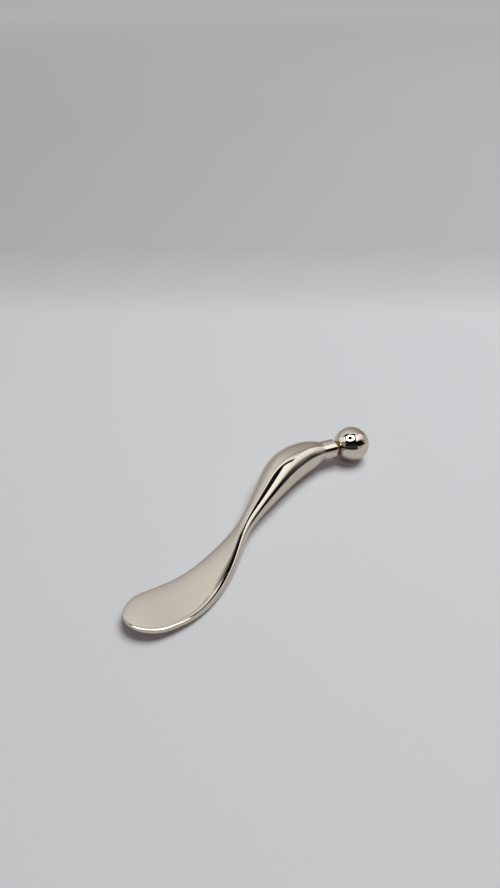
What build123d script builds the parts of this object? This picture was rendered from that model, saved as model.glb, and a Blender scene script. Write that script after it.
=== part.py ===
"""Gua sha scraper: a plated casting with a flat blade and a round handle, and a free-turning roller ball.

The x and y of every station are measured from the point under the ball's centre, +X towards the ball and
+Y to the left of it. The whole object is then moved so that its origin lies under its middle, on the table.
"""
from build123d import *
from math import cos, pi, radians, sin, sqrt
import os

os.makedirs("parts", exist_ok=True)

# Roller ball and its axle. The axle leaves the ball towards the handle, level and turned in plan.
BALL_R = 6.5
AXLE_TURN = 25.0
MIDDLE = Vector(51.59, 0.23, 0)

# Distances along the axle, counted from the ball's centre towards the handle.
COLLAR_FROM = 7.5
COLLAR_TO = 12.2
SPIGOT_FROM = 9.0
PIN_FROM = -1.8
PIN_SHOULDER_FROM = 6.9
PIN_TO = 17.0
BORE_FLOOR = -2.3
BUSH_FROM = -0.4
BUSH_TO = 6.05
OUTER_WASHER_FROM = 6.25
INNER_WASHER_TO = -0.5
CLIP_TO = -0.85
HANDLE_BORE_FLOOR = 17.3

# Radii and thicknesses on the axle.
COLLAR_R = 3.65
COLLAR_CHAMFER = 0.2
SPIGOT_R = 2.3
PIN_R = 1.0
PIN_SHOULDER_R = 1.7
PIN_ROOT_R = 1.3
GROOVE_R = 0.72
RUNNING_CLEARANCE = 0.04
BUSH_R = 2.4
WASHER_R = 2.25
INNER_WASHER_R = 1.9
OUTER_WASHER_T = 0.6
INNER_WASHER_T = 0.3
CLIP_R = 1.7
CLIP_T = 0.4
CLIP_SLOT = 1.3
GROOVE_PLAY = 0.03

# Casting stations from the collar to the blade's tip: x, y, z of the middle line, half width, half
# thickness, how much thicker the right side is, squareness of the right side, roll in degrees.
STATIONS = [
    (-10.2, 4.8, 6.5, 3.2, 3.2, 0.00, 2.0, -30),
    (-14.6, 6.6, 6.5, 4.9, 4.9, 0.00, 2.0, -30),
    (-20.0, 7.9, 6.5, 5.9, 5.9, 0.00, 2.0, -30),
    (-28.0, 7.9, 6.52, 6.2, 6.2, 0.00, 2.0, -30),
    (-38.0, 5.6, 6.0, 5.2, 5.0, 0.00, 2.0, -32),
    (-48.0, 2.5, 5.4, 3.6, 3.4, 0.00, 2.0, -34),
    (-56.5, -0.1, 4.8, 2.8, 2.4, 0.05, 2.1, -30),
    (-64.0, -2.1, 3.7, 3.7, 1.7, 0.20, 2.8, -19),
    (-73.0, -4.6, 2.4, 5.5, 1.35, 0.16, 4.2, -10),
    (-83.0, -6.4, 1.5, 7.4, 1.15, 0.08, 5.7, -5),
    (-93.0, -6.4, 1.8, 8.7, 1.0, 0.03, 6.6, -3),
    (-101.0, -4.8, 2.8, 8.6, 0.9, 0.00, 6.8, -3),
    (-109.4, -2.6, 4.2, 8.0, 0.75, 0.00, 6.0, -3),
]
LEFT_SQUARENESS = 2.4
TIP_ROUNDING = 9.5
SECTION_STEP = 4.5
SECTION_POINTS = 32
TIP_FRACTIONS = (0.0, 0.3, 0.55, 0.75, 0.88, 0.96, 0.995)


def natural_spline(knots, values):
    """Return the natural cubic spline through the values as a function of the knot variable."""
    gaps = [b - a for a, b in zip(knots, knots[1:])]
    slopes = [(b - a) / gap for a, b, gap in zip(values, values[1:], gaps)]
    diagonal, load = [1.0], [0.0]
    for i in range(1, len(knots) - 1):
        factor = gaps[i - 1] / diagonal[-1] if i > 1 else 0.0
        diagonal.append(2 * (gaps[i - 1] + gaps[i]) - factor * gaps[i - 1])
        load.append(6 * (slopes[i] - slopes[i - 1]) - factor * load[-1])
    bend = [0.0] * len(knots)
    for i in range(len(knots) - 2, 0, -1):
        bend[i] = (load[i] - gaps[i] * bend[i + 1]) / diagonal[i]

    def value_at(t):
        i = max(j for j in range(len(gaps)) if j == 0 or knots[j] <= t)
        d, gap = t - knots[i], gaps[i]
        slope = slopes[i] - gap * (2 * bend[i] + bend[i + 1]) / 6
        return values[i] + d * slope + d**2 * bend[i] / 2 + d**3 * (bend[i + 1] - bend[i]) / (6 * gap)

    return value_at


def chord_lengths(points):
    """Return the running distance along a list of points."""
    run = [0.0]
    for a, b in zip(points, points[1:]):
        run.append(run[-1] + (b - a).length)
    return run


MIDDLE_LINE = [Vector(*station[:3]) for station in STATIONS]
RUN = chord_lengths(MIDDLE_LINE)
LENGTH = RUN[-1]
PROFILE = [natural_spline(RUN, column) for column in zip(*STATIONS)]


def station_plane(t):
    """Return the section plane at distance t: its x axis points left, its normal points to the tip."""
    here = Vector(*(f(t) for f in PROFILE[:3]))
    ahead = Vector(*(f(min(t + 0.01, LENGTH)) for f in PROFILE[:3]))
    behind = Vector(*(f(max(t - 0.01, 0)) for f in PROFILE[:3]))
    tangent = (ahead - behind).normalized()
    left = tangent.cross(Vector(0, 0, 1)).normalized()
    return Plane(here + MIDDLE, x_dir=left, z_dir=tangent)


def power(value, exponent):
    """Raise the size of a value to a power and keep its sign."""
    return abs(value) ** exponent * (1 if value >= 0 else -1)


def section_point(t, angle):
    """Return one point of the casting's section at distance t, in the section plane's own axes."""
    half_width, half_thickness, taper, squareness, roll = (f(t) for f in PROFILE[3:])
    rounding = min(max((t - LENGTH + TIP_ROUNDING) / TIP_ROUNDING, 0), 1)
    end = sqrt(1 - rounding**2)
    exponent = 2 / (LEFT_SQUARENESS if cos(angle) >= 0 else squareness)
    across = half_width * power(cos(angle), exponent)
    up = half_thickness * end**0.3 * power(sin(angle), exponent) * (1 - taper * across / half_width)
    across *= end
    c, s = cos(radians(roll)), sin(radians(roll))
    return (across * c - up * s, -(across * s + up * c))


def casting_outline(t):
    """Return the points of one section of the casting."""
    return [section_point(t, 2 * pi * i / SECTION_POINTS) for i in range(SECTION_POINTS)]


# The axle's own frame: +Z runs from the ball's centre towards the handle.
BALL_CENTRE = Vector(0, 0, BALL_R) + MIDDLE
AXLE = Vector(-cos(radians(AXLE_TURN)), sin(radians(AXLE_TURN)), 0)


def axle_plane(distance):
    """Return the plane across the axle at a distance from the ball's centre."""
    return Plane(BALL_CENTRE + AXLE * distance, x_dir=Vector(0, 0, 1), z_dir=AXLE)


body_end = LENGTH - TIP_ROUNDING
steps = round(body_end / SECTION_STEP)
section_runs = [body_end * i / steps for i in range(steps)]
section_runs += [body_end + TIP_ROUNDING * fraction for fraction in TIP_FRACTIONS]

# The casting: blade, neck and handle in one, with a spigot for the collar and a blind bore for the pin.
with BuildPart() as scraper_body:
    for run in section_runs:
        with BuildSketch(station_plane(run)):
            with BuildLine():
                Spline(*casting_outline(run), periodic=True)
            make_face()
    loft()
    split(bisect_by=axle_plane(COLLAR_TO), keep=Keep.TOP)
    with BuildSketch(axle_plane(SPIGOT_FROM)):
        Circle(SPIGOT_R)
    extrude(amount=COLLAR_TO - SPIGOT_FROM + 1.0)
    with BuildSketch(axle_plane(SPIGOT_FROM)):
        Circle(PIN_ROOT_R)
    extrude(amount=HANDLE_BORE_FLOOR - SPIGOT_FROM, mode=Mode.SUBTRACT)

# The collar: a turned ferrule pressed over the spigot, with a smaller hole for the pin at its front.
with BuildPart() as collar:
    with BuildSketch(axle_plane(COLLAR_FROM)):
        Circle(COLLAR_R)
    extrude(amount=COLLAR_TO - COLLAR_FROM)
    chamfer(collar.edges().filter_by(GeomType.CIRCLE).sort_by(Axis(BALL_CENTRE, AXLE))[0], COLLAR_CHAMFER)
    with BuildSketch(axle_plane(SPIGOT_FROM)):
        Circle(SPIGOT_R)
    extrude(amount=COLLAR_TO - SPIGOT_FROM, mode=Mode.SUBTRACT)
    with BuildSketch(axle_plane(COLLAR_FROM)):
        Circle(PIN_ROOT_R)
    extrude(amount=SPIGOT_FROM - COLLAR_FROM, mode=Mode.SUBTRACT)

# The axle pin: root in the handle, a shoulder against the collar, a journal in the ball, a clip groove.
with BuildPart() as axle_pin:
    with BuildSketch(axle_plane(COLLAR_FROM)):
        Circle(PIN_ROOT_R)
    extrude(amount=PIN_TO - COLLAR_FROM)
    with BuildSketch(axle_plane(PIN_SHOULDER_FROM)):
        Circle(PIN_SHOULDER_R)
    extrude(amount=COLLAR_FROM - PIN_SHOULDER_FROM)
    with BuildSketch(axle_plane(PIN_FROM)):
        Circle(PIN_R)
    extrude(amount=PIN_SHOULDER_FROM - PIN_FROM)
    with BuildSketch(axle_plane(CLIP_TO - CLIP_T - GROOVE_PLAY)):
        Circle(PIN_R)
        Circle(GROOVE_R, mode=Mode.SUBTRACT)
    extrude(amount=CLIP_T + 2 * GROOVE_PLAY, mode=Mode.SUBTRACT)

# The outer washer: sits on the pin against its shoulder, between the collar and the ball.
with BuildPart() as outer_washer:
    with BuildSketch(axle_plane(OUTER_WASHER_FROM)):
        Circle(WASHER_R)
        Circle(PIN_R, mode=Mode.SUBTRACT)
    extrude(amount=OUTER_WASHER_T)

# The inner washer: between the bush and the clip, deep in the ball.
with BuildPart() as inner_washer:
    with BuildSketch(axle_plane(INNER_WASHER_TO - INNER_WASHER_T)):
        Circle(INNER_WASHER_R)
        Circle(PIN_R, mode=Mode.SUBTRACT)
    extrude(amount=INNER_WASHER_T)

# The retaining clip: an open ring snapped into the pin's groove.
with BuildPart() as retaining_clip:
    with BuildSketch(axle_plane(CLIP_TO - CLIP_T)):
        Circle(CLIP_R)
        Circle(GROOVE_R, mode=Mode.SUBTRACT)
        with Locations((CLIP_R, 0)):
            Rectangle(2 * CLIP_R, CLIP_SLOT, mode=Mode.SUBTRACT)
    extrude(amount=CLIP_T)

# The roller ball: a polished sphere with a blind bore on the handle's side.
with BuildPart() as roller_ball:
    with Locations(BALL_CENTRE):
        Sphere(BALL_R)
    with BuildSketch(axle_plane(BORE_FLOOR)):
        Circle(BUSH_R)
    extrude(amount=BALL_R - BORE_FLOOR, mode=Mode.SUBTRACT)

# The bearing bush: pressed into the ball, turns on the pin.
with BuildPart() as bearing_bush:
    with BuildSketch(axle_plane(BUSH_FROM)):
        Circle(BUSH_R)
        Circle(PIN_R + RUNNING_CLEARANCE, mode=Mode.SUBTRACT)
    extrude(amount=BUSH_TO - BUSH_FROM)

pieces = {
    "scraper_body": scraper_body,
    "collar": collar,
    "axle_pin": axle_pin,
    "outer_washer": outer_washer,
    "inner_washer": inner_washer,
    "retaining_clip": retaining_clip,
    "roller_ball": roller_ball,
    "bearing_bush": bearing_bush,
}
for name, piece in pieces.items():
    piece.part.label = name
    export_step(piece.part, f"parts/{name}.step")

whole = Compound([piece.part for piece in pieces.values()]).bounding_box()
print("box low", whole.min, "high", whole.max, "middle", whole.center())
print("ball joint position, m:", [round(value / 1000, 6) for value in BALL_CENTRE])
print("ball joint axis:", [round(value, 6) for value in AXLE])
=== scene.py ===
"""Looks of the gua sha scraper: a nickel-plated casting with a blade and a round handle, and a roller ball.

The shapes repeat the driving dimensions of the CAD part, in millimetres, and are turned into metres as each
mesh is made. The studio is a white light box with a ring lamp in its roof. Its own frame has the point under
the ball as origin, +Y away from the camera and +Z up.
"""

import math

import bmesh
import bpy
import numpy as np
from mathutils import Matrix, Vector


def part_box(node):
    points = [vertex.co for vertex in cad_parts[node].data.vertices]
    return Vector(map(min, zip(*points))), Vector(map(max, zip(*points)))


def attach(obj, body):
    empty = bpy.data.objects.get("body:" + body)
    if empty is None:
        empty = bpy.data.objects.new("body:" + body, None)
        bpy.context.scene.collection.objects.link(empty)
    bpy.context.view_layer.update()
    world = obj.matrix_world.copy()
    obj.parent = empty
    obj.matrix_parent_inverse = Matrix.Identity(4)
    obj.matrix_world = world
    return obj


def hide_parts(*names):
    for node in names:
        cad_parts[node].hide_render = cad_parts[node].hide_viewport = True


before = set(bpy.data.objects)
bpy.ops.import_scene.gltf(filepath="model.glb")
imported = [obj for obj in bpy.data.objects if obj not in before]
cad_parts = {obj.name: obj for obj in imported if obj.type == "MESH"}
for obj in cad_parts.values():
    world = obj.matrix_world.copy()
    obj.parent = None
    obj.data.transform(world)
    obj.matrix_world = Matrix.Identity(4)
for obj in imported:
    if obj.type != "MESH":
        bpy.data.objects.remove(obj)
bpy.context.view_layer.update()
MM = 0.001

# The ball's centre and the axle, which leaves the ball towards the handle, level and turned in plan.
ball_low, ball_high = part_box("roller_ball")
BALL_CENTRE = (ball_low + ball_high) / 2
BALL_R = 6.5
AXLE_TURN = math.radians(25.0)
AXLE = Vector((-math.cos(AXLE_TURN), math.sin(AXLE_TURN), 0))
UP = Vector((0, 0, 1))
SIDE = AXLE.cross(UP)

# Distances along the axle, counted from the ball's centre towards the handle.
COLLAR_FROM = 7.5
COLLAR_TO = 12.2
SPIGOT_FROM = 9.0
PIN_FROM = -1.8
PIN_SHOULDER_FROM = 6.9
PIN_TO = 17.0
BORE_FLOOR = -2.3
OUTER_WASHER_FROM = 6.25
OUTER_WASHER_TO = 6.85
CLIP_FROM = -1.25
CLIP_TO = -0.85
HANDLE_BORE_FLOOR = 17.3

# Radii about the axle, and how far each turned edge is rounded.
COLLAR_R = 3.65
SPIGOT_R = 2.3
PIN_R = 1.0
PIN_SHOULDER_R = 1.7
PIN_ROOT_R = 1.3
GROOVE_R = 0.72
GROOVE_PLAY = 0.03
BUSH_R = 2.4
WASHER_R = 2.25
FINE_EDGE = 0.06
COLLAR_EDGE = 0.16

# The lip round the ball's bore: how far it is broken, and how full its curve is as a share of that.
BORE_LIP = 0.12
LIP_SWELL = 0.35

# Casting stations from the collar to the blade's tip: x, y, z of the middle line, half width, half
# thickness, how much thicker the right side is, squareness of the right side, roll in degrees.
STATIONS = [
    (-10.2, 4.8, 6.5, 3.2, 3.2, 0.00, 2.0, -30),
    (-14.6, 6.6, 6.5, 4.9, 4.9, 0.00, 2.0, -30),
    (-20.0, 7.9, 6.5, 5.9, 5.9, 0.00, 2.0, -30),
    (-28.0, 7.9, 6.52, 6.2, 6.2, 0.00, 2.0, -30),
    (-38.0, 5.6, 6.0, 5.2, 5.0, 0.00, 2.0, -32),
    (-48.0, 2.5, 5.4, 3.6, 3.4, 0.00, 2.0, -34),
    (-56.5, -0.1, 4.8, 2.8, 2.4, 0.05, 2.1, -30),
    (-64.0, -2.1, 3.7, 3.7, 1.7, 0.20, 2.8, -19),
    (-73.0, -4.6, 2.4, 5.5, 1.35, 0.16, 4.2, -10),
    (-83.0, -6.4, 1.5, 7.4, 1.15, 0.08, 5.7, -5),
    (-93.0, -6.4, 1.8, 8.7, 1.0, 0.03, 6.6, -3),
    (-101.0, -4.8, 2.8, 8.6, 0.9, 0.00, 6.8, -3),
    (-109.4, -2.6, 4.2, 8.0, 0.75, 0.00, 6.0, -3),
]
LEFT_SQUARENESS = 2.4

# The tip closes over this length, and thins by this power of its narrowing.
TIP_ROUNDING = 9.5
TIP_THINNING = 0.3

# How finely the shapes are drawn.
RINGS = 420
TIP_RINGS = 40
NOSE_ENDS = (0.012, 0.004, 0.001, 0.0002)
QUARTER_POINTS = 56
LATHE_POINTS = 192
CORNER_STEPS = 6
BALL_STEPS = 96

# A rounded edge takes up at most this share of a side, with a point this share of its reach before it.
CORNER_SHARE = 0.45
CORNER_LEAD = 0.3

# Edges stay crisp where two faces meet at more than this many degrees.
CASTING_CREASE = 50
TURNED_CREASE = 40

# In metres: points of the casting nearer to each other than the first are one point, and points nearer
# to the plane of the flat end than the second are on its rim.
WELD_WITHIN = 2e-7
RIM_WITHIN = 1e-7


def on_axle(distance, radius=0.0, turn=0.0):
    """Return the point at a distance along the axle, a radius from it and an angle about it."""
    return BALL_CENTRE + AXLE * distance * MM + (SIDE * math.cos(turn) + UP * math.sin(turn)) * radius * MM


def natural_spline(knots, values, at):
    """Return the natural cubic spline through the values, worked out at the given places."""
    gaps = np.diff(knots)
    slopes = np.diff(values) / gaps
    count = len(knots)
    system, load = np.eye(count), np.zeros(count)
    for i in range(1, count - 1):
        system[i, i - 1 : i + 2] = gaps[i - 1], 2 * (gaps[i - 1] + gaps[i]), gaps[i]
        load[i] = 6 * (slopes[i] - slopes[i - 1])
    bend = np.linalg.solve(system, load)
    i = np.clip(np.searchsorted(knots, at, side="right") - 1, 0, count - 2)
    d, gap = at - knots[i], gaps[i]
    slope = slopes[i] - gap * (2 * bend[i] + bend[i + 1]) / 6
    return values[i] + d * slope + d**2 * bend[i] / 2 + d**3 * (bend[i + 1] - bend[i]) / (6 * gap)


STATION_TABLE = np.array(STATIONS, float)
RUN = np.concatenate([[0], np.cumsum(np.linalg.norm(np.diff(STATION_TABLE[:, :3], axis=0), axis=1))])
LENGTH = RUN[-1]


def columns_at(t):
    """Return every column of the station table at the distances t, one row a distance."""
    return np.stack([natural_spline(RUN, column, t) for column in STATION_TABLE.T], axis=1)


def power(value, exponent):
    """Raise the size of each value to a power and keep its sign."""
    return np.sign(value) * np.abs(value) ** exponent


def quarter_spread(squareness):
    """Return angles over a quarter turn, gathered so that a squarer rim is drawn evenly."""
    step = np.arange(QUARTER_POINTS) / QUARTER_POINTS
    gather = squareness / 2
    return math.pi / 2 * step**gather / (step**gather + (1 - step) ** gather)


def section(row, end):
    """Return one closed section as (left, up) offsets from the middle line."""
    half_width, half_thickness, taper, squareness, roll = row[3:]
    left_angles, right_angles = quarter_spread(LEFT_SQUARENESS), quarter_spread(squareness)
    angle = np.concatenate(
        [
            left_angles,
            math.pi - np.append(right_angles[1:], math.pi / 2)[::-1],
            math.pi + right_angles,
            2 * math.pi - np.append(left_angles[1:], math.pi / 2)[::-1],
        ]
    )
    c, s = np.cos(angle), np.sin(angle)
    exponent = np.where(c >= 0, 2 / LEFT_SQUARENESS, 2 / squareness)
    across = half_width * power(c, exponent)
    up = half_thickness * end**TIP_THINNING * power(s, exponent) * (1 - taper * across / half_width)
    across = across * end
    turn = math.radians(roll)
    return across * math.cos(turn) - up * math.sin(turn), across * math.sin(turn) + up * math.cos(turn)


def casting_rings():
    """Return the casting's rings of points, in millimetres from the point under the ball's centre."""
    body_end = LENGTH - TIP_ROUNDING
    ends = np.append(np.cos(np.linspace(0, math.pi / 2, TIP_RINGS, endpoint=False)), NOSE_ENDS)
    runs = np.concatenate(
        [
            np.linspace(0, body_end, RINGS, endpoint=False),
            body_end + TIP_ROUNDING * np.sqrt(1 - ends**2),
        ]
    )
    ends = np.concatenate([np.ones(RINGS), ends])
    rows = columns_at(runs)
    step = 0.01
    ahead = columns_at(np.minimum(runs + step, LENGTH))[:, :3]
    behind = columns_at(np.maximum(runs - step, 0))[:, :3]
    rings = []
    for row, end, tangent in zip(rows, ends, ahead - behind):
        tangent = tangent / np.linalg.norm(tangent)
        left = np.cross(tangent, (0, 0, 1))
        left /= np.linalg.norm(left)
        above = np.cross(left, tangent)
        across, up = section(row, end)
        rings.append(row[:3] + across[:, None] * left + up[:, None] * above)
    return rings, columns_at(np.array([LENGTH]))[0, :3]


def new_piece(name, mesh, material):
    """Put a mesh into the scene as an object, shaded smooth."""
    mesh.validate()
    mesh.update()
    piece = bpy.data.objects.new(name, mesh)
    bpy.context.scene.collection.objects.link(piece)
    mesh.materials.append(material)
    mesh.polygons.foreach_set("use_smooth", [True] * len(mesh.polygons))
    return piece


def finished(name, cage, material, crease):
    """Turn a cage into a piece, with its edges crisp where faces meet at more than crease degrees."""
    bmesh.ops.recalc_face_normals(cage, faces=cage.faces)
    mesh = bpy.data.meshes.new(name)
    cage.to_mesh(mesh)
    cage.free()
    piece = new_piece(name, mesh, material)
    mesh.set_sharp_from_angle(angle=math.radians(crease))
    return piece


def cut_flat_end(cage):
    """Cut the casting off square at the collar and add its spigot and the pin's blind bore there."""
    cut_at = on_axle(COLLAR_TO)
    everything = cage.verts[:] + cage.edges[:] + cage.faces[:]
    bmesh.ops.bisect_plane(cage, geom=everything, plane_co=cut_at, plane_no=-AXLE, clear_outer=True)

    def bearing(vertex):
        out = vertex.co - BALL_CENTRE
        return math.atan2(out.dot(UP), out.dot(SIDE))

    rim = sorted((v for v in cage.verts if abs((v.co - cut_at).dot(AXLE)) < RIM_WITHIN), key=bearing)
    bearings = [bearing(v) for v in rim]
    ladder = [
        (COLLAR_TO, SPIGOT_R),
        (SPIGOT_FROM + FINE_EDGE, SPIGOT_R),
        (SPIGOT_FROM, SPIGOT_R - FINE_EDGE),
        (SPIGOT_FROM, PIN_ROOT_R),
        (HANDLE_BORE_FLOOR, PIN_ROOT_R),
    ]
    last = rim
    for distance, radius in ladder:
        ring = [cage.verts.new(on_axle(distance, radius, b)) for b in bearings]
        for i in range(len(ring)):
            j = (i + 1) % len(ring)
            cage.faces.new((last[i], last[j], ring[j], ring[i]))
        last = ring
    floor = cage.verts.new(on_axle(HANDLE_BORE_FLOOR))
    for i in range(len(last)):
        cage.faces.new((last[i], last[(i + 1) % len(last)], floor))


def make_casting(name, material):
    """Build the casting: blade, neck and handle in one smooth skin, with its spigot and bore."""
    rings, nose = casting_rings()
    under_ball = Vector((BALL_CENTRE.x, BALL_CENTRE.y, 0))
    cage = bmesh.new()
    rows = [[cage.verts.new(Vector(p) * MM + under_ball) for p in ring] for ring in rings]
    around = len(rows[0])
    for a, b in zip(rows, rows[1:]):
        for i in range(around):
            j = (i + 1) % around
            cage.faces.new((a[i], a[j], b[j], b[i]))
    tip = cage.verts.new(Vector(nose) * MM + under_ball)
    for i in range(around):
        cage.faces.new((rows[-1][i], rows[-1][(i + 1) % around], tip))
    cut_flat_end(cage)
    bmesh.ops.remove_doubles(cage, verts=cage.verts, dist=WELD_WITHIN)
    return finished(name, cage, material, CASTING_CREASE)


def rounded(corners):
    """Return a lathe profile from corners (distance, radius, edge rounding), with its edges rounded."""
    profile = []
    for i, (distance, radius, rounding) in enumerate(corners):
        here = Vector((distance, radius))
        if rounding == 0:
            profile.append(here)
            continue
        before = Vector(corners[i - 1][:2]) - here
        after = Vector(corners[(i + 1) % len(corners)][:2]) - here
        reach = min(rounding, before.length * CORNER_SHARE, after.length * CORNER_SHARE)
        start, finish = here + before.normalized() * reach, here + after.normalized() * reach
        profile.append(start + before.normalized() * reach * CORNER_LEAD)
        for step in range(CORNER_STEPS + 1):
            f = step / CORNER_STEPS
            profile.append(start * (1 - f) ** 2 + here * 2 * f * (1 - f) + finish * f**2)
        profile.append(finish + after.normalized() * reach * CORNER_LEAD)
    return profile


def lathe(name, profile, material, closed=False):
    """Turn a profile of (distance, radius) points about the axle. A radius of 0 makes one point."""
    cage = bmesh.new()
    rows = []
    for distance, radius in profile:
        if radius == 0:
            rows.append([cage.verts.new(on_axle(distance))] * LATHE_POINTS)
            continue
        turns = [2 * math.pi * i / LATHE_POINTS for i in range(LATHE_POINTS)]
        rows.append([cage.verts.new(on_axle(distance, radius, turn)) for turn in turns])
    if closed:
        rows.append(rows[0])
    for a, b in zip(rows, rows[1:]):
        for i in range(LATHE_POINTS):
            j = (i + 1) % LATHE_POINTS
            corners = list(dict.fromkeys((a[i], a[j], b[j], b[i])))
            cage.faces.new(corners)
    return finished(name, cage, material, TURNED_CREASE)


def make_collar(name, material):
    """The turned ring pressed over the spigot, with a smaller hole for the pin at its front."""
    profile = rounded(
        [
            (COLLAR_FROM, COLLAR_R, COLLAR_EDGE),
            (COLLAR_TO, COLLAR_R, FINE_EDGE),
            (COLLAR_TO, SPIGOT_R, FINE_EDGE),
            (SPIGOT_FROM, SPIGOT_R, FINE_EDGE),
            (SPIGOT_FROM, PIN_ROOT_R, FINE_EDGE),
            (COLLAR_FROM, PIN_ROOT_R, FINE_EDGE),
        ]
    )
    return lathe(name, profile, material, closed=True)


def make_pin(name, material):
    """The brass pin: root in the handle, shoulder, journal and the clip's groove."""
    groove_to, groove_from = CLIP_TO + GROOVE_PLAY, CLIP_FROM - GROOVE_PLAY
    profile = rounded(
        [
            (PIN_TO, 0, 0),
            (PIN_TO, PIN_ROOT_R, FINE_EDGE),
            (COLLAR_FROM, PIN_ROOT_R, 0),
            (COLLAR_FROM, PIN_SHOULDER_R, FINE_EDGE),
            (PIN_SHOULDER_FROM, PIN_SHOULDER_R, FINE_EDGE),
            (PIN_SHOULDER_FROM, PIN_R, FINE_EDGE),
            (groove_to, PIN_R, FINE_EDGE),
            (groove_to, GROOVE_R, 0),
            (groove_from, GROOVE_R, 0),
            (groove_from, PIN_R, FINE_EDGE),
            (PIN_FROM, PIN_R, 2 * FINE_EDGE),
            (PIN_FROM, 0, 0),
        ]
    )
    return lathe(name, profile, material)


def make_washer(name, material):
    """The brass washer on the pin, between the collar and the ball."""
    profile = rounded(
        [
            (OUTER_WASHER_FROM, PIN_R, FINE_EDGE),
            (OUTER_WASHER_TO, PIN_R, FINE_EDGE),
            (OUTER_WASHER_TO, WASHER_R, 2 * FINE_EDGE),
            (OUTER_WASHER_FROM, WASHER_R, 2 * FINE_EDGE),
        ]
    )
    return lathe(name, profile, material, closed=True)


def make_ball(name, material):
    """The polished ball, with a softly broken lip round its blind bore."""
    lip_angle = math.asin((BUSH_R + BORE_LIP) / BALL_R)
    profile = []
    for i in range(BALL_STEPS + 1):
        angle = math.pi - (math.pi - lip_angle) * i / BALL_STEPS
        profile.append((BALL_R * math.cos(angle), BALL_R * math.sin(angle) if i else 0))
    mouth = Vector(profile[-1])
    wall_top = Vector((mouth.x - BORE_LIP, BUSH_R))
    corner = Vector((mouth.x + BORE_LIP * LIP_SWELL, BUSH_R))
    for step in range(1, CORNER_STEPS + 1):
        f = step / CORNER_STEPS
        profile.append(mouth * (1 - f) ** 2 + corner * 2 * f * (1 - f) + wall_top * f**2)
    profile += [(wall_top.x - FINE_EDGE, BUSH_R), (BORE_FLOOR, BUSH_R), (BORE_FLOOR, 0)]
    return lathe(name, profile, material)


class Finish:
    """A material under construction, with short ways to add and join its nodes."""

    def __init__(self, name):
        self.material = bpy.data.materials.new(name)
        self.material.use_nodes = True
        self.tree = self.material.node_tree
        self.shader = self.tree.nodes["Principled BSDF"]
        self.place = self.add("ShaderNodeTexCoord").outputs["Object"]

    def add(self, kind, **settings):
        node = self.tree.nodes.new(kind)
        for key, value in settings.items():
            setattr(node, key, value)
        return node

    def join(self, source, target):
        self.tree.links.new(source, target)

    def set(self, **values):
        for key, value in values.items():
            self.shader.inputs[key.replace("_", " ")].default_value = value

    def stretched(self, scale, turn=0.0):
        """Return the object's own place, turned about Z and scaled differently along each axis."""
        spun = self.add("ShaderNodeMapping")
        spun.inputs["Rotation"].default_value = (0, 0, turn)
        self.join(self.place, spun.inputs["Vector"])
        sized = self.add("ShaderNodeMapping")
        sized.inputs["Scale"].default_value = scale
        self.join(spun.outputs["Vector"], sized.inputs["Vector"])
        return sized.outputs["Vector"]

    def noise(self, vector, scale, detail=3.0, rough=0.5):
        """Return a noise from 0 to 1, with the scale as repeats in a metre of the given place."""
        node = self.add("ShaderNodeTexNoise")
        node.inputs["Scale"].default_value = scale
        node.inputs["Detail"].default_value = detail
        node.inputs["Roughness"].default_value = rough
        self.join(vector, node.inputs["Vector"])
        return node.outputs["Fac"]

    def ramp(self, source, stops):
        """Return a colour ramp of the source. Each stop is (position, colour)."""
        node = self.add("ShaderNodeValToRGB")
        elements = node.color_ramp.elements
        while len(elements) < len(stops):
            elements.new(0.5)
        for element, (position, colour) in zip(elements, stops):
            element.position = position
            element.color = (*colour, 1) if isinstance(colour, tuple) else (colour, colour, colour, 1)
        self.join(source, node.inputs["Fac"])
        return node.outputs["Color"]

    def math(self, operation, a, b):
        """Return the result of an operation on two sockets or numbers."""
        node = self.add("ShaderNodeMath", operation=operation)
        for socket, value in zip(node.inputs, (a, b)):
            if isinstance(value, (int, float)):
                socket.default_value = value
            else:
                self.join(value, socket)
        return node.outputs["Value"]

    def mix(self, factor, a, b):
        """Return colour a where the factor is 0 and colour b where it is 1."""
        node = self.add("ShaderNodeMix", data_type="RGBA")
        self.join(factor, node.inputs["Factor"])
        for name, value in (("A", a), ("B", b)):
            socket = next(s for s in node.inputs if s.name == name and s.type == "RGBA")
            if isinstance(value, tuple):
                socket.default_value = (*value, 1)
            else:
                self.join(value, socket)
        return next(s for s in node.outputs if s.type == "RGBA")

    def bump(self, height, depth_mm, under=None):
        """Return a surface direction raised by the height, on top of another one if that is given."""
        node = self.add("ShaderNodeBump")
        node.inputs["Distance"].default_value = depth_mm * MM
        self.join(height, node.inputs["Height"])
        if under is not None:
            self.join(under, node.inputs["Normal"])
        return node.outputs["Normal"]

    def rise(self, source, low, high):
        """Return 0 where the source is below low and 1 where it is above high."""
        return self.ramp(source, [(low, 0.0), (high, 1.0)])

    def edge(self):
        """Return how much of an outside edge each point is on, from 0 to 1."""
        geometry = self.add("ShaderNodeNewGeometry")
        return self.rise(geometry.outputs["Pointiness"], EDGE_FROM, EDGE_TO)

    def scaled_sum(self, source, share, base):
        """Return the source times a share, plus a base."""
        return self.math("ADD", self.math("MULTIPLY", source, share), base)

    def colour_by(self, tone):
        self.join(tone, self.shader.inputs["Base Color"])

    def gloss_by(self, roughness):
        self.join(roughness, self.shader.inputs["Roughness"])

    def relief_by(self, normal):
        self.join(normal, self.shader.inputs["Normal"])


# The pointiness at which an outside edge begins and is fully reached.
EDGE_FROM, EDGE_TO = 0.52, 0.60

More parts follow.
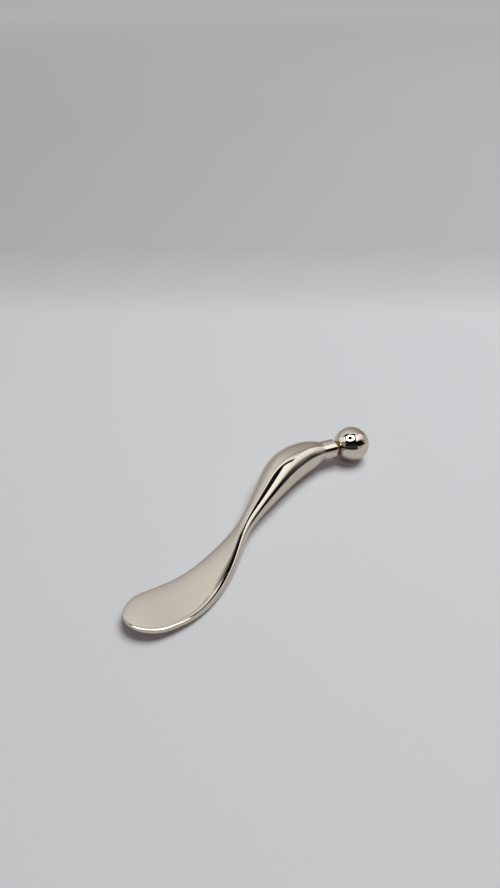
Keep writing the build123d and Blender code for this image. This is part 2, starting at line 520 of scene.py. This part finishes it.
# Metal and plastic colours: the clean one, the filmed or tinted one, and the worn edge.
NICKEL, NICKEL_WARM, NICKEL_WORN = (0.665, 0.612, 0.532), (0.655, 0.595, 0.505), (0.72, 0.675, 0.60)
BRASS, BRASS_FILM, BRASS_WORN = (0.74, 0.55, 0.30), (0.58, 0.40, 0.19), (0.86, 0.71, 0.46)
STEEL, STEEL_TINTED = (0.56, 0.57, 0.59), (0.43, 0.42, 0.42)
ACETAL, ACETAL_PALE = (0.055, 0.052, 0.05), (0.085, 0.08, 0.075)

# How the plating reflects at a grazing angle.
PLATED_TINT = (0.86, 0.77, 0.74, 1)

# Depths of the marks in the surfaces, in millimetres. A cut is negative.
HAIRLINE_DEPTH = -0.00012
COLLAR_LINE_DEPTH = 0.0006
BRASS_RING_DEPTH = 0.002
STEEL_GRAIN_DEPTH = 0.003
ACETAL_MARK_DEPTH = 0.004

# How much smudges and hairlines dull the plating.
SMUDGE_DULLING = 0.05
HAIRLINE_DULLING = 0.05


def plated(name, roughness, wave_mm, lines=None):
    """Bright nickel plating: slow waves left by hand polishing, hairline scratches, smudges, worn edges.

    With lines, turning marks run round the axle, that many repeats in a metre along it.
    """
    finish = Finish(name)
    finish.set(Metallic=1.0, Specular_Tint=PLATED_TINT)
    clouds = finish.noise(finish.place, scale=110.0, detail=4.0)
    tone = finish.mix(finish.rise(clouds, 0.35, 0.65), NICKEL, NICKEL_WARM)
    finish.colour_by(finish.mix(finish.edge(), tone, NICKEL_WORN))
    scratch_a = finish.noise(finish.stretched((70, 2600, 2600), turn=0.18), scale=1.0, detail=2.0)
    scratch_b = finish.noise(finish.stretched((90, 3100, 3100), turn=-0.31), scale=1.0, detail=2.0)
    hairs = finish.math("MAXIMUM", finish.rise(scratch_a, 0.66, 0.70), finish.rise(scratch_b, 0.67, 0.71))
    grime = finish.noise(finish.place, scale=420.0, detail=5.0, rough=0.6)
    gloss = finish.scaled_sum(finish.rise(grime, 0.48, 0.78), SMUDGE_DULLING, roughness)
    finish.gloss_by(finish.scaled_sum(hairs, HAIRLINE_DULLING, gloss))
    waves = finish.noise(finish.place, scale=260.0, detail=1.0)
    normal = finish.bump(hairs, HAIRLINE_DEPTH, finish.bump(waves, wave_mm))
    if lines:
        turned = finish.noise(finish.stretched((lines, 25, 25), AXLE_TURN), scale=1.0, rough=0.7)
        normal = finish.bump(turned, COLLAR_LINE_DEPTH, normal)
    finish.relief_by(normal)
    return finish.material


def turned_brass(name):
    """Brass turned on a lathe: fine rings, a dull warm film in patches, bright edges."""
    finish = Finish(name)
    finish.set(Metallic=1.0)
    film = finish.noise(finish.place, scale=900.0, detail=4.0)
    tone = finish.mix(finish.rise(film, 0.3, 0.7), BRASS, BRASS_FILM)
    finish.colour_by(finish.mix(finish.edge(), tone, BRASS_WORN))
    finish.gloss_by(finish.scaled_sum(film, 0.16, 0.12))
    rings = finish.noise(finish.stretched((9000, 40, 40), AXLE_TURN), scale=1.0, detail=2.0, rough=0.6)
    finish.relief_by(finish.bump(rings, BRASS_RING_DEPTH))
    return finish.material


def stamped_steel(name):
    """Stamped steel: grey, brushed one way, with darker heat-tinted patches."""
    finish = Finish(name)
    finish.set(Metallic=1.0)
    patches = finish.noise(finish.place, scale=700.0, detail=4.0)
    finish.colour_by(finish.mix(finish.rise(patches, 0.35, 0.7), STEEL, STEEL_TINTED))
    grain = finish.noise(finish.stretched((600, 600, 9000)), scale=1.0, detail=2.0)
    finish.gloss_by(finish.scaled_sum(grain, 0.2, 0.2))
    finish.relief_by(finish.bump(grain, STEEL_GRAIN_DEPTH))
    return finish.material


def black_acetal(name):
    """Bearing plastic: nearly black, faintly mottled, with fine cutting marks."""
    finish = Finish(name)
    mottle = finish.noise(finish.place, scale=1200.0, detail=4.0)
    finish.colour_by(finish.mix(finish.rise(mottle, 0.3, 0.7), ACETAL, ACETAL_PALE))
    marks = finish.noise(finish.stretched((7000, 300, 300), AXLE_TURN), scale=1.0, detail=2.0)
    finish.gloss_by(finish.scaled_sum(marks, 0.2, 0.38))
    finish.relief_by(finish.bump(marks, ACETAL_MARK_DEPTH))
    return finish.material


casting_finish = plated("plated_casting", roughness=0.035, wave_mm=0.0009)
collar_finish = plated("plated_steel", roughness=0.04, wave_mm=0.0003, lines=6500)
ball_finish = plated("plated_ball", roughness=0.02, wave_mm=0.0002)
brass_finish = turned_brass("brass")
steel_finish = stamped_steel("spring_steel")
acetal_finish = black_acetal("bearing_plastic")

casting = make_casting("casting", casting_finish)
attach(casting, "handle")
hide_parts("scraper_body")

ferrule = make_collar("ferrule", collar_finish)
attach(ferrule, "handle")
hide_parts("collar")

pin = make_pin("pin", brass_finish)
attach(pin, "handle")
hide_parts("axle_pin")

washer = make_washer("washer", brass_finish)
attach(washer, "handle")
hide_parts("outer_washer")

ball = make_ball("ball", ball_finish)
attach(ball, "ball")
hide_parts("roller_ball")

# The pieces inside the ball keep their CAD meshes and get finishes of their own.
for node, finish in (
    ("inner_washer", steel_finish),
    ("retaining_clip", steel_finish),
    ("bearing_bush", acetal_finish),
):
    for material_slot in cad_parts[node].material_slots:
        material_slot.material = finish


# The studio's frame, turned about Z so that +Y points away from the camera.
VIEW_TURN = math.radians(-46.34)
STUDIO = Matrix.Translation((BALL_CENTRE.x, BALL_CENTRE.y, 0)) @ Matrix.Rotation(VIEW_TURN, 4, "Z")

# The light box, in millimetres: left and right walls, back wall, roof, how far it reaches forwards, the dark
# seam between two of its sheets, and the curve at the foot of its back wall.
LEFT, RIGHT, BACK, ROOF, FRONT = -300, 190, 150, 250, -260
SEAM = 2.5
SWEEP_RADIUS = 22
SWEEP_LIFT = 0.3

# The roof has a white strip at the back and one along each side, round a dark opening with the ring lamp. The
# opening's edges run from its back corner, past the end of the bright side strip, to the front. Left of
# STRIP_FROM the back strip fades towards the opening.
OPEN_BACK, BRIGHT_BACK, ROOF_FRONT = 88, 59, -150
LEFT_OPENING = [(-190, OPEN_BACK), (-198, BRIGHT_BACK), (-245, ROOF_FRONT)]
RIGHT_OPENING = [(66, OPEN_BACK), (74, BRIGHT_BACK), (124, ROOF_FRONT)]
STRIP_FROM = -92
RING_CENTRE, RING_OUTER, RING_INNER = (-59, -58), (130, 98), (60, 57)
RING_POINTS = 128

# The side walls end forwards in an edge of (y, z) points. Beyond it is the dark room over a pale table.
LEFT_WALL_EDGE = [(ROOF_FRONT, ROOF), (-107, 208), (6, 63), (-14, 0)]
RIGHT_WALL_EDGE = [(ROOF_FRONT, ROOF), (-32, 130), (-32, 32), (-14, 5), (-14, 0)]
TABLE_EDGE = [(-14, 5), (-28, 26), (-150, 55), (-200, 85), (FRONT, 95)]


def staged(name, corners, faces, material):
    """Make a studio surface from points in millimetres in the studio's frame."""
    mesh = bpy.data.meshes.new(name)
    mesh.from_pydata([Vector(p) * MM for p in corners], [], faces)
    piece = new_piece(name, mesh, material)
    piece.matrix_world = STUDIO
    return piece


def hide_from(piece, *rays):
    """Hide a studio surface from these kinds of ray."""
    for ray in rays:
        setattr(piece, "visible_" + ray, False)


def level_ramp(tree, along, stops, tint=(1, 1, 1)):
    """Return a tinted level that changes with a distance in metres, by stops of (mm, level)."""
    start, finish = stops[0][0], stops[-1][0]
    place = tree.nodes.new("ShaderNodeMapRange")
    place.inputs["From Min"].default_value = start * MM
    place.inputs["From Max"].default_value = finish * MM
    ramp = tree.nodes.new("ShaderNodeValToRGB")
    elements = ramp.color_ramp.elements
    while len(elements) < len(stops):
        elements.new(0.5)
    for element, (at, level) in zip(elements, stops):
        element.position = (at - start) / (finish - start)
        element.color = (level * tint[0], level * tint[1], level * tint[2], 1)
    tree.links.new(along, place.inputs["Value"])
    tree.links.new(place.outputs["Result"], ramp.inputs["Fac"])
    return ramp.outputs["Color"]


def slanted(tree, height, along, above, slope):
    """Return the place along an axis, shifted by slope for each unit of height above a level."""
    over = tree.nodes.new("ShaderNodeMath")
    over.operation = "SUBTRACT"
    over.inputs[1].default_value = above * MM
    tree.links.new(height, over.inputs[0])
    kept = tree.nodes.new("ShaderNodeMath")
    kept.operation = "MAXIMUM"
    kept.inputs[1].default_value = 0.0
    tree.links.new(over.outputs[0], kept.inputs[0])
    shifted = tree.nodes.new("ShaderNodeMath")
    shifted.operation = "MULTIPLY_ADD"
    shifted.inputs[1].default_value = slope
    tree.links.new(kept.outputs[0], shifted.inputs[0])
    tree.links.new(along, shifted.inputs[2])
    return shifted.outputs[0]


def glow(name, brightness=1.0, by_height=None, axis="Y", by_axis=None, slant=None):
    """A card's material: an even glow, or one that changes with height and along another axis.

    The stops are (mm, level) pairs, and the two levels multiply. A slant (height, slope) tilts the second
    one above that height.
    """
    material = bpy.data.materials.new(name)
    material.use_nodes = True
    tree = material.node_tree
    tree.nodes.clear()
    emission = tree.nodes.new("ShaderNodeEmission")
    output = tree.nodes.new("ShaderNodeOutputMaterial")
    tree.links.new(emission.outputs[0], output.inputs["Surface"])
    emission.inputs["Strength"].default_value = brightness
    if by_height is None and by_axis is None:
        return material
    place = tree.nodes.new("ShaderNodeTexCoord")
    parts = tree.nodes.new("ShaderNodeSeparateXYZ")
    tree.links.new(place.outputs["Object"], parts.inputs[0])
    levels = []
    if by_height:
        levels.append(level_ramp(tree, parts.outputs["Z"], by_height))
    if by_axis:
        along = parts.outputs[axis]
        if slant:
            along = slanted(tree, parts.outputs["Z"], along, *slant)
        levels.append(level_ramp(tree, along, by_axis))
    if len(levels) == 1:
        tree.links.new(levels[0], emission.inputs["Color"])
        return material
    product = tree.nodes.new("ShaderNodeMix")
    product.data_type, product.blend_type = "RGBA", "MULTIPLY"
    product.inputs["Factor"].default_value = 1.0
    sockets = [socket for socket in product.inputs if socket.type == "RGBA"]
    for level, socket in zip(levels, sockets):
        tree.links.new(level, socket)
    result = next(socket for socket in product.outputs if socket.type == "RGBA")
    tree.links.new(result, emission.inputs["Color"])
    return material


def card(name, corners, material, faces=None):
    """A studio card that is seen only in reflections."""
    piece = staged(name, corners, faces or [tuple(range(len(corners)))], material)
    hide_from(piece, "camera", "diffuse", "shadow", "transmission", "volume_scatter")


def curved_card(name, profile, left, right, material):
    """A card bent along a profile of (y, z) points between two x values."""
    corners = [(x, y, z) for y, z in profile for x in (left, right)]
    faces = [(2 * i, 2 * i + 1, 2 * i + 3, 2 * i + 2) for i in range(len(profile) - 1)]
    card(name, corners, material, faces)


def ring_card(name, centre, outer, inner, height, material):
    """A flat ring with an oval outside and an oval hole, each given by its two half lengths."""
    corners, faces = [], []
    for i in range(RING_POINTS):
        turn = 2 * math.pi * i / RING_POINTS
        for half in (outer, inner):
            x, y = centre[0] + half[0] * math.cos(turn), centre[1] + half[1] * math.sin(turn)
            corners.append((x, y, height))
        j = (i + 1) % RING_POINTS
        faces.append((2 * i, 2 * i + 1, 2 * j + 1, 2 * j))
    card(name, corners, material, faces)


def rectangle(low, high, near, far):
    """Return the four corners of a rectangle from low to high one way and near to far the other."""
    return [(low, near), (high, near), (high, far), (low, far)]


def roof_card(name, outline, material, lift=0.0):
    """A card in the roof, or a little above it, from its (x, y) outline."""
    card(name, [(x, y, ROOF + lift) for x, y in outline], material)


def side_card(name, x, outline, material):
    """A card in or near a side wall, from its (y, z) outline."""
    card(name, [(x, y, z) for y, z in outline], material)


def end_card(name, y, outline, material):
    """A card at the back or the front, from its (x, z) outline."""
    card(name, [(x, y, z) for x, z in outline], material)


# How bright each sheet is, by height and along one other axis, which is Y where none is named.
back_glow = glow(
    "back_glow",
    by_height=[(0, 0.46), (25, 0.48), (166, 0.8), (250, 0.92)],
    axis="X",
    by_axis=[(LEFT, 0.86), (-80, 1.0), (0, 0.75), (100, 0.55), (RIGHT, 0.42)],
)
wall_glow = glow(
    "wall_glow",
    by_height=[(0, 0.42), (50, 0.5), (95, 0.75), (150, 1.1), (250, 1.4)],
    by_axis=[(-32, 0.0), (-15, 0.12), (0, 0.35), (22, 0.75), (50, 1.0), (BACK, 1.0)],
    slant=(110, 0.9),
)
left_glow = glow("left_glow", by_height=[(0, 0.42), (60, 0.5), (75, 1.1), (250, 1.1)])
roof_glow = glow("roof_glow", by_axis=[(88, 1.7), (100, 1.15), (BACK, 0.55)])
roof_left_glow = glow("roof_left_glow", by_axis=[(88, 0.02), (100, 0.08), (120, 0.35), (BACK, 0.92)])
side_roof_glow = glow("side_roof_glow", 1.45)
corner_glow = glow("corner_glow", 0.06)
ring_glow = glow("ring_glow", 7.0)
table_glow = glow("front_floor_glow", 0.44)
dark = glow("dark", 0.006)
front_glow = glow(
    "front_glow",
    by_height=[(0, 0.006), (30, 0.015), (60, 0.045), (110, 0.045), (165, 0.012), (250, 0.006)],
)
room_left_glow = glow(
    "room_left_glow",
    by_height=[(0, 0.03), (40, 0.1), (70, 0.3), (170, 0.3), (250, 0.1)],
)
seam_dark = glow("seam_dark", 0.05)

sweep = [
    (BACK - SWEEP_RADIUS * (1 - math.sin(a)), SWEEP_RADIUS * (1 - math.cos(a)) + SWEEP_LIFT)
    for a in np.linspace(0, math.pi / 2, 10)
]
curved_card("back_wall", sweep + [(BACK, ROOF - SEAM)], LEFT, RIGHT - SEAM, back_glow)
roof_card("roof_back", rectangle(STRIP_FROM, RIGHT - SEAM, OPEN_BACK, BACK - SEAM), roof_glow)
roof_card("roof_back_left", rectangle(LEFT, STRIP_FROM, OPEN_BACK, BACK), roof_left_glow)
end_card("back_top", BACK, rectangle(LEFT, STRIP_FROM, ROOF - SEAM, ROOF), back_glow)
for side, x, opening in (("left", LEFT + SEAM, LEFT_OPENING), ("right", RIGHT - SEAM, RIGHT_OPENING)):
    back_edge, bright_edge, front_edge = opening
    roof_card("roof_" + side, [front_edge, bright_edge, (x, BRIGHT_BACK), (x, ROOF_FRONT)], side_roof_glow)
    roof_card("corner_" + side, [bright_edge, back_edge, (x, OPEN_BACK), (x, BRIGHT_BACK)], corner_glow)
ring_card("ring_lamp", RING_CENTRE, RING_OUTER, RING_INNER, ROOF - 1, ring_glow)
side_card("wall_right", RIGHT, [(BACK - SEAM, 0), (BACK - SEAM, ROOF)] + RIGHT_WALL_EDGE, wall_glow)
side_card("wall_left", LEFT, [(BACK - SEAM, 0), (BACK - SEAM, ROOF)] + LEFT_WALL_EDGE, left_glow)
side_card("table_right", RIGHT, [(-14, 0)] + TABLE_EDGE + [(FRONT, 0)], table_glow)

# Behind the sheets are dark ones, a little farther out, which show in the seams and past the edges.
roof_card("roof_seams", rectangle(LEFT, RIGHT, OPEN_BACK + SEAM, BACK), seam_dark, lift=0.5)
roof_card("room_above", rectangle(LEFT, RIGHT, FRONT, BACK), dark, lift=1.0)
end_card("back_seams", BACK + 1, rectangle(LEFT, RIGHT, 0, ROOF + 1), seam_dark)
for side, x, finish in (("left", LEFT - 1, room_left_glow), ("right", RIGHT + 1, dark)):
    side_card("room_" + side, x, rectangle(BACK, FRONT, 0, ROOF + 1), finish)
end_card("room_front", FRONT, rectangle(LEFT, RIGHT, 0, ROOF + 1), front_glow)

# The floor is one sheet of paper. Its colour is painted darker where the light box's back would rise, as
# painted shade, and it glows faintly far from the tool, as painted light. The colour's stops go by metres
# towards the back, and FAR_GLOW's by millimetres all round, both counted from the point under the ball.
PAPER_AND_PAINTED_SHADE = [
    (0.118, (0.80, 0.808, 0.826)),
    (0.150, (0.70, 0.705, 0.715)),
    (0.205, (0.60, 0.603, 0.612)),
]
FAR_GLOW = [(237, 0.0), (341, 0.005), (528, 0.035), (857, 0.125), (1409, 0.265), (3000, 0.33)]
FAR_GLOW_TINT = (0.97, 1.02, 0.99)
FLOOR_REACH = 3000
paper = Finish("paper")
paper.set(Roughness=0.8, Specular_IOR_Level=0.1, Emission_Strength=1.0)
paper_parts = paper.add("ShaderNodeSeparateXYZ")
paper.join(paper.place, paper_parts.inputs[0])
# The paper's colour, painted darker towards the back as painted shade.
paper.colour_by(paper.ramp(paper_parts.outputs["Y"], PAPER_AND_PAINTED_SHADE))
away = paper.add("ShaderNodeVectorMath", operation="LENGTH")
paper.join(paper.place, away.inputs[0])
# The far glow is painted light on the floor.
far_glow = level_ramp(paper.tree, away.outputs["Value"], FAR_GLOW, FAR_GLOW_TINT)
paper.join(far_glow, paper.shader.inputs["Emission Color"])
floor_corners = [(x, y, 0) for x, y in rectangle(-FLOOR_REACH, FLOOR_REACH, -FLOOR_REACH, FLOOR_REACH)]
staged("floor", floor_corners, [(0, 1, 2, 3)], paper.material)

# Far off, a pale round backdrop stands behind the floor for the low views. It lights nothing.
BACKDROP_R, BACKDROP_HEIGHT, BACKDROP_POINTS = 2950, 2000, 96
rims = []
for i in range(BACKDROP_POINTS):
    turn = 2 * math.pi * i / BACKDROP_POINTS
    x, y = BACKDROP_R * math.cos(turn), BACKDROP_R * math.sin(turn)
    rims += [(x, y, -1), (x, y, BACKDROP_HEIGHT)]
sides = [(2 * i, (2 * i + 2) % len(rims), (2 * i + 3) % len(rims), 2 * i + 1) for i in range(BACKDROP_POINTS)]
backdrop = staged("backdrop", rims, sides, glow("backdrop", 0.44))
hide_from(backdrop, "diffuse", "glossy", "shadow", "transmission", "volume_scatter")

# One large soft lamp, high up at the back on the right, which isn't seen in reflections. Lengths are in mm.
LAMP_PLACE = Vector((330, 190, 1170))
LAMP_AIM = Vector((-45, -40, 0))
LAMP_SIZE = 836
lamp_data = bpy.data.lights.new("back_right", "AREA")
lamp_data.shape = "DISK"
lamp_data.size = LAMP_SIZE * MM
lamp_data.energy = 10.2
lamp_data.color = (0.985, 1.033, 1.010)
lamp = bpy.data.objects.new("back_right", lamp_data)
bpy.context.scene.collection.objects.link(lamp)
lamp_turn = (LAMP_AIM - LAMP_PLACE).to_track_quat("-Z", "Y").to_matrix().to_4x4()
lamp.matrix_world = STUDIO @ (Matrix.Translation(LAMP_PLACE * MM) @ lamp_turn)
lamp.visible_glossy = False

# A faint, slightly pink light from all round.
world = bpy.data.worlds.new("studio")
bpy.context.scene.world = world
world.use_nodes = True
background = world.node_tree.nodes["Background"]
background.inputs["Color"].default_value = (1.0, 0.82, 0.92, 1)
background.inputs["Strength"].default_value = 0.17

# The camera looks down at the tool from the front of the light box. Lengths are in millimetres.
CAMERA_PLACE = (-37.8, -214.8, 168.4)
CAMERA_DOWN = math.radians(37.0)
LENS_PER_LONG_SIDE = 720 / 888
camera_data = bpy.data.cameras.new("camera")
camera_data.sensor_fit = "AUTO"
camera_data.sensor_width = 36
camera_data.lens = LENS_PER_LONG_SIDE * camera_data.sensor_width
camera_data.clip_start = 10 * MM
camera = bpy.data.objects.new("camera", camera_data)
bpy.context.scene.collection.objects.link(camera)
camera.matrix_world = (
    STUDIO
    @ Matrix.Translation(Vector(CAMERA_PLACE) * MM)
    @ Matrix.Rotation(math.pi / 2 - CAMERA_DOWN, 4, "X")
)
bpy.context.scene.camera = camera
bpy.context.scene.view_settings.view_transform = "Standard"
